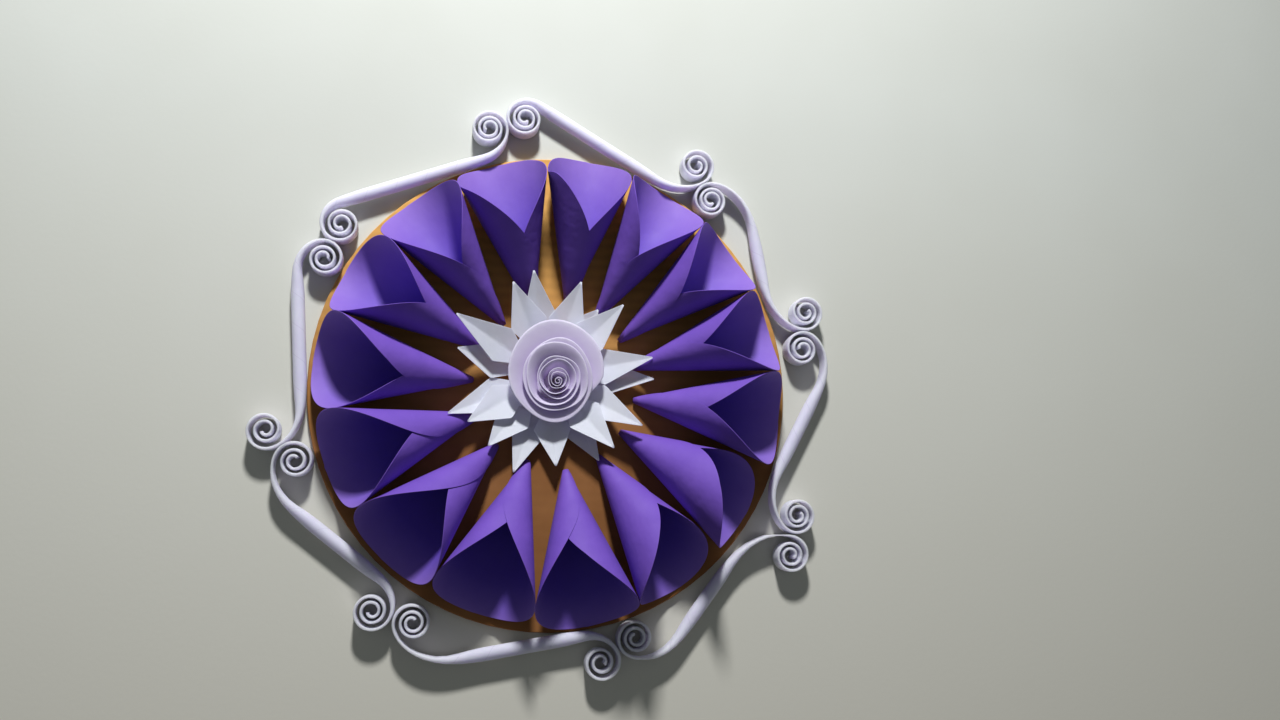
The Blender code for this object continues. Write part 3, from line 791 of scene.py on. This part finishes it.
# %% The line of a scroll
def scroll_shape(standoff, turns_deg, divide):
    """Points and headings of a scroll that leaves the origin along +x and curls to +y."""
    quarter = math.pi / 2
    total = math.radians(turns_deg)
    start_radius = (standoff - LOOP_RADIUS * 2 / math.pi) / (1 - 2 / math.pi)
    middle = (start_radius - LOOP_RADIUS) * 2 / math.pi
    count = max(2, round(total / math.radians(36))) * divide
    fine = FINE_STEPS // divide
    x = y = heading = 0.0
    points = [(x, y, heading)]
    step = total / (count * fine)
    for i in range(count * fine):
        bend = heading + step / 2
        if bend < quarter:
            radius = start_radius + (LOOP_RADIUS - start_radius) * bend / quarter
        else:
            left = 1 - (bend - quarter) / (total - quarter)
            radius = SCROLL_EYE + (LOOP_RADIUS - SCROLL_EYE) * left ** TIGHTENING
        x += radius * step * math.cos(bend)
        y += radius * step * math.sin(bend)
        heading += step
        if (i + 1) % fine == 0:
            points.append((x, y, heading))
    for i in range(INNER_STEPS if divide > 1 else 0):
        radius = SCROLL_EYE + (INNER_EYE - SCROLL_EYE) * (i + 1) / INNER_STEPS
        heading += INNER_TURN / INNER_STEPS
        x += radius * INNER_TURN / INNER_STEPS * math.cos(heading)
        y += radius * INNER_TURN / INNER_STEPS * math.sin(heading)
        points.append((x, y, heading))
    return points, middle


print("scroll of 720 degrees has", len(scroll_shape(0.015, 720, 6)[0]), "points")

# %% [markdown]
# A tube's line is a scroll, a straight and another scroll. Each step also says how flat the tube is
# there: round along the straight, and flat from where the scroll starts.

# %% The line of one tube
STRAIGHT_STEPS = 24


def tube_path(index, line_reach, start_reach, end_reach, divide=1):
    """Steps (place, direction, flatness, length) of a tube's middle line from eye to eye."""
    outward, clockwise = bearing_axes(TUBE_BEARINGS[index])
    start, start_middle = scroll_shape(START_STANDOFF_MM[index] * MM, START_TURNS[index], divide)
    end, end_middle = scroll_shape(END_STANDOFF_MM[index] * MM, END_TURNS[index], divide)
    straight_start = start_reach + start_middle
    straight_end = end_reach - end_middle
    side = START_SIDES[index]
    local = [(straight_start - x, side * y, -side * turn) for x, y, turn in reversed(start)]
    first = len(local) - 1
    if divide == 1:
        middle = (straight_start + straight_end) / 2
        stops = [straight_start + FLATTENING_LEAD, middle, straight_end - FLATTENING_LEAD]
    else:
        span = straight_end - straight_start
        stops = [straight_start + span * k / STRAIGHT_STEPS for k in range(1, STRAIGHT_STEPS)]
    local += [(along, 0.0, 0.0) for along in stops]
    last = len(local)
    side = END_SIDES[index]
    local += [(straight_end + x, side * y, side * turn) for x, y, turn in end]
    lengths = [0.0]
    for a, b in zip(local, local[1:]):
        lengths.append(lengths[-1] + math.hypot(b[0] - a[0], b[1] - a[1]))
    path = []
    for (along, out, heading), length in zip(local, lengths):
        place = outward * (line_reach + out) + clockwise * along
        ahead = clockwise * math.cos(heading) + outward * math.sin(heading)
        past = max(lengths[first] - length, length - lengths[last]) + FLATTENING_LEAD
        share = min(1.0, max(0.0, past / FLATTENING))
        path.append((place, ahead, share * share * (3 - 2 * share), length))
    return path


print("first tube's line has", len(tube_path(0, DISC_RADIUS, -0.07, 0.02, 4)), "steps")

# %% [markdown]
# Before a tube can be laid, its thickness has to be known at every step, and also how thick it is at
# the height of the disc's front edge, where a round tube may lie partly over the board.

# %% The thickness of a tube
EDGE_CORNER = math.tan(math.pi / 8)      # the solids' tubes have eight sides


def half_thickness(flat):
    return TUBE_RADIUS + (STRIP_THICKNESS / 2 - TUBE_RADIUS) * flat


def half_width(flat):
    return TUBE_RADIUS + (STRIP_WIDTH / 2 - TUBE_RADIUS) * flat


def thickness_at_disc(flat):
    """Half the thickness of a tube where it passes the front edge of the disc."""
    corner = EDGE_CORNER ** (1 - 0.4 * flat)
    offset = (TUBE_DEPTH - DISC_THICKNESS) / half_width(flat)
    return half_thickness(flat) * (1 - max(0.0, offset - corner))


print("flattened tube:", round(2 * half_thickness(1) / MM, 1), "mm thick")

# %% [markdown]
# The tubes are laid as by hand, one after another. Each is pushed against the disc's edge, then slid
# along it until its scroll lies one glue line from the scroll before it. Halving the distance again
# and again finds that place without solving for it.

# %% Seating the tubes against the disc and each other
OUTLINE_PARTS = 6
DISC_ROUNDS = 4
SLIDE_ROUNDS = 18


def outline(path, thickness):
    """Places along a tube with half its thickness there, as rows of x, z and half."""
    rows = []
    for step, next_step in zip(path, path[1:]):
        half = thickness(step[2])
        change = thickness(next_step[2]) - half
        for k in range(OUTLINE_PARTS):
            spot = step[0].lerp(next_step[0], k / OUTLINE_PARTS)
            rows.append((spot.x, spot.z, half + change * k / OUTLINE_PARTS))
    return np.array(rows)


def seat_on_disc(index, start_reach, end_reach):
    """The line's distance from the middle at which the tube touches the disc's edge."""
    line_reach = DISC_RADIUS + GLUE + TUBE_RADIUS
    for _ in range(DISC_ROUNDS):
        rows = outline(tube_path(index, line_reach, start_reach, end_reach), thickness_at_disc)
        away = np.hypot(rows[:, 0], rows[:, 1]) - rows[:, 2]
        line_reach += DISC_RADIUS + GLUE - float(np.min(away))
    return line_reach


def room_between(path_a, path_b):
    """The smallest gap between two tubes, below nothing where they overlap."""
    a = outline(path_a, half_thickness)
    b = outline(path_b, half_thickness)
    away = np.hypot(a[:, None, 0] - b[None, :, 0], a[:, None, 1] - b[None, :, 1])
    return float(np.min(away - a[:, None, 2] - b[None, :, 2]))


def slide(settings, neighbour, touching, clear):
    """Halve the distance again and again until the scroll lies one glue line from its neighbour."""
    for _ in range(SLIDE_ROUNDS):
        middle = (touching + clear) / 2
        index, start, end = settings(middle)
        path = tube_path(index, seat_on_disc(index, start, end), start, end)
        if room_between(path, neighbour) < GLUE:
            touching = middle
        else:
            clear = middle
    return clear


def seat_tubes():
    """(line, start, end) for each tube."""
    ends = [reach * MM for reach in END_REACH_MM]
    seats = [(seat_on_disc(0, FIRST_START_REACH, ends[0]), FIRST_START_REACH, ends[0])]
    for index in range(1, len(ends)):
        end = ends[index]
        neighbour = tube_path(index - 1, *seats[-1])
        start = slide(lambda reach: (index, reach, end), neighbour,
                      end - TUBE_SPAN_MOST, end - TUBE_SPAN_LEAST)
        seats.append((seat_on_disc(index, start, end), start, end))
    last = len(ends) - 1
    start = seats[last][1]
    end = slide(lambda reach: (last, start, reach), tube_path(0, *seats[0]),
                start + TUBE_SPAN_MOST, start + TUBE_SPAN_LEAST)
    seats[last] = (seat_on_disc(last, start, end), start, end)
    return seats


tube_seats = seat_tubes()
print("tube lines lie at", [round(seat[0] / MM, 1) for seat in tube_seats], "mm")

# %% [markdown]
# The tubes are plain office paper, a little greyer than the star, with the helix of the rolled sheet's
# edge over it. Each tube's grid has a map: across it runs the way round the tube, and along it the
# length in metres. A line where the two together reach a whole number is exactly the slanted seam of a
# rolled sheet.

# %% A rolled-tube finish
SEAM_PITCH = 0.016            # how far the seam climbs along the tube in one round
SEAM_WIDTH = 0.035            # part of a round that its shade takes up
SEAM_SHADE = (0.42, 0.38, 0.50, 1)
TUBE_LIGHT_SPREAD = 0.005     # the flattened tubes are many layers, and light crosses them


def tube_finish():
    material = paper_finish("Rolled white paper", (0.76, 0.75, 0.86), (0.72, 0.70, 0.83),
                            worn=(0.88, 0.87, 0.93), speck=(0.56, 0.53, 0.64), wear=0.7, glow=1.0)
    tree = material.node_tree
    shader = tree.nodes["Principled BSDF"]
    shader.inputs["Subsurface Scale"].default_value = TUBE_LIGHT_SPREAD
    layout = tree.nodes.new("ShaderNodeUVMap")
    layout.uv_map = "Paper"
    split = add_node(tree, "ShaderNodeSeparateXYZ", Vector=layout.outputs[0])
    turns = maths(tree, "MULTIPLY", split.outputs["Y"], 1 / SEAM_PITCH)
    helix = maths(tree, "FRACT", maths(tree, "ADD", split.outputs["X"], turns))
    line = remap(tree, helix, 0.0, SEAM_WIDTH, 1.0, 0.0)
    tint = shader.inputs["Base Color"].links[0].from_socket
    seam_shade = maths(tree, "MULTIPLY", line, 0.35)
    tint = blend_colour(tree, seam_shade, tint, SEAM_SHADE)
    tree.links.new(tint, shader.inputs["Base Color"])
    fibres = shader.inputs["Normal"].links[0].from_socket
    seam = add_node(tree, "ShaderNodeBump", Strength=0.5, Distance=0.0002, Height=helix, Normal=fibres)
    tree.links.new(seam.outputs[0], shader.inputs["Normal"])
    return material


rolled_white = tube_finish()
print("finish:", rolled_white.name)

# %% [markdown]
# A tube is a ring of points carried along its line. The ring's shape goes from a circle to a rounded
# rectangle as the tube flattens, by one formula with a changing power. Pressed paper dents unevenly, so
# the thickness wavers a little along the scrolls. The ends are closed with a face each, because
# the paper is wound up to the middle there.

# %% One curled tube
TUBE_SIDES = 24
PRESSED = 0.24                # part of the solid's thickness that pressing takes off
WAVER = 0.08                  # part by which the pressed thickness wavers
WAVER_RATE = 240              # radians of the waver in a metre of tube
SQUARED = 0.6                 # how far the ring's power falls as it goes from round to squared
WORN_FROM = 0.9               # how near the front or back a point is before its edge is worn


def tube_ring(place, ahead, flat, dent):
    """Points round the tube at one step, with how near each lies to a pressed edge."""
    power = 1 - SQUARED * flat
    across = Vector((ahead.z, 0, -ahead.x))
    ring = []
    for side in range(TUBE_SIDES):
        angle = math.tau * side / TUBE_SIDES
        front = math.copysign(abs(math.cos(angle)) ** power, math.cos(angle))
        thick = math.copysign(abs(math.sin(angle)) ** power, math.sin(angle))
        point = (place + FRONT * (TUBE_DEPTH + half_width(flat) * front)
                 + across * (half_thickness(flat) * thick * dent))
        edge = flat * max(0.0, abs(math.cos(angle)) - WORN_FROM) / (1 - WORN_FROM)
        ring.append((point, edge))
    return ring


def close_ends(mesh):
    """Put a face over the first and the last ring of a tube."""
    bm = bmesh.new()
    bm.from_mesh(mesh)
    bm.verts.ensure_lookup_table()
    count = len(bm.verts)
    bm.faces.new([bm.verts[k] for k in range(TUBE_SIDES)])
    bm.faces.new([bm.verts[count - 1 - k] for k in range(TUBE_SIDES)])
    bmesh.ops.recalc_face_normals(bm, faces=bm.faces)
    bm.to_mesh(mesh)
    bm.free()


def make_tube(index):
    path = tube_path(index, *tube_seats[index], divide=4)
    luck = random.Random(index + 301)
    phase = luck.uniform(0, math.tau)
    node = "frame_tube_%d" % (index + 1)
    low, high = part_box(node)
    rows = []
    rims = []
    for place, ahead, flat, length in path:
        dent = (1 - PRESSED * flat) * (1 + WAVER * flat * math.sin(length * WAVER_RATE + phase))
        ring = tube_ring(place, ahead, flat, dent)
        rows.append([[min(max(point[axis], low[axis]), high[axis]) for axis in range(3)]
                     for point, _ in ring])
        rims += [edge for _, edge in ring]
    lengths = [step[3] for step in path]
    mesh = grid_mesh("curled_tube_%d" % (index + 1), rows, closed=True,
                     uv=lambda i, j: (i / TUBE_SIDES, lengths[j]))
    add_values(mesh, "rim", rims)
    close_ends(mesh)
    return place_piece(mesh, rolled_white, node, 40)


tubes = [make_tube(index) for index in range(len(TUBE_BEARINGS))]
print("tubes:", len(tubes), "with", len(tubes[0].data.vertices), "points each")

# %% [markdown]
# ## The wall behind it
# The hanging needs a plain pale wall to throw its shadow on, which isn't part of the object. Its
# paint is faintly uneven, and its colour is made a little warmer towards the bottom, as painted light.

# %% Wall
WALL_PLACE = 0.0006
WALL_HALF = 1.6
WALL_PAINTED_LIGHT_SPAN = (0.15, -0.2)      # heights over which painted light makes the wall warmer


def wall_finish():
    material = bpy.data.materials.new("Painted wall")
    material.use_nodes = True
    tree = material.node_tree
    shader = tree.nodes["Principled BSDF"]
    shader.inputs["Specular IOR Level"].default_value = 0.2
    place = tree.nodes.new("ShaderNodeTexCoord").outputs["Object"]
    patches = remap(tree, noise(tree, place, 9.0, 3.0), 0.3, 0.7)
    tint = blend_colour(tree, patches, (0.677, 0.695, 0.624, 1), (0.646, 0.66, 0.586, 1))
    height = add_node(tree, "ShaderNodeSeparateXYZ", Vector=place).outputs["Z"]
    # Painted light: the colour turns warmer towards the bottom.
    tint = blend_colour(tree, remap(tree, height, *WALL_PAINTED_LIGHT_SPAN), tint, (0.738, 0.71, 0.60, 1))
    tree.links.new(tint, shader.inputs["Base Color"])
    tree.links.new(remap(tree, patches, 0, 1, 0.6, 0.7), shader.inputs["Roughness"])
    bumps = add_node(tree, "ShaderNodeBump", Strength=0.1, Distance=0.0003,
                     Height=noise(tree, place, 420.0, 4.0))
    tree.links.new(bumps.outputs[0], shader.inputs["Normal"])
    return material


corners = [(x * WALL_HALF, WALL_PLACE, z * WALL_HALF) for x, z in ((-1, -1), (1, -1), (1, 1), (-1, 1))]
wall_mesh = bpy.data.meshes.new("wall")
wall_mesh.from_pydata(corners, [], [(0, 1, 2, 3)])
wall_mesh.materials.append(wall_finish())
wall = add_object("wall", wall_mesh)
print("wall placed")

# %% [markdown]
# ## Light
# One lamp high up in front gives the long soft-edged shadows under the scrolls and the dark mouths of
# the lower cones. It is near enough for the light on the wall to fall off towards the bottom, which a
# sun lamp wouldn't do. A plain world fills the shade.

# %% Lamp and world
LAMP_PLACE = Vector((-0.05, -0.54, 0.72))
LAMP_SIZE = 0.11
LAMP_WATTS = 9.2
LAMP_COLOUR = (0.975, 0.985, 1.03)
FILL_COLOUR = (0.84, 0.92, 0.98, 1)
FILL_STRENGTH = 0.133
lamp_data = bpy.data.lights.new("Lamp above", "AREA")
lamp_data.shape = "DISK"
lamp_data.size = LAMP_SIZE
lamp_data.energy = LAMP_WATTS
lamp_data.color = LAMP_COLOUR
lamp = add_object("Lamp above", lamp_data)
lamp.location = LAMP_PLACE
lamp.rotation_euler = LAMP_PLACE.to_track_quat("Z", "Y").to_euler()
world = bpy.data.worlds.new("Plain fill")
world.use_nodes = True
background = world.node_tree.nodes["Background"]
background.inputs["Color"].default_value = FILL_COLOUR
background.inputs["Strength"].default_value = FILL_STRENGTH
bpy.context.scene.world = world
bpy.context.scene.view_settings.view_transform = "Standard"
print("lamp is", round(LAMP_PLACE.length, 2), "m away")

# %% [markdown]
# ## Camera
# The picture was taken from a little left of the middle and below it, looking up, at about arm's
# length. The camera could be turned by three angles, but two directions, its right and the way it
# looks, are easier to read, and its up follows from them.

# %% Camera
CAMERA_PLACE = Vector((-0.0566, -0.574, -0.0729))
CAMERA_RIGHT = Vector((0.984, -0.176, 0.0))
CAMERA_AHEAD = Vector((0.174, 0.973, 0.152))
CAMERA_LENS = 31.16           # millimetres, on a 36 mm wide sensor
camera_data = bpy.data.cameras.new("Camera")
camera_data.lens = CAMERA_LENS
camera_data.sensor_width = 36.0
camera_data.clip_start = 0.01
camera = add_object("Camera", camera_data)
ahead = CAMERA_AHEAD.normalized()
up = CAMERA_RIGHT.normalized().cross(ahead).normalized()
right = ahead.cross(up).normalized()
turned = Matrix((right, up, -ahead)).transposed().to_4x4()
camera.matrix_world = Matrix.Translation(CAMERA_PLACE) @ turned
bpy.context.scene.camera = camera
print("camera is", round(CAMERA_PLACE.length, 3), "m from the middle of the disc")
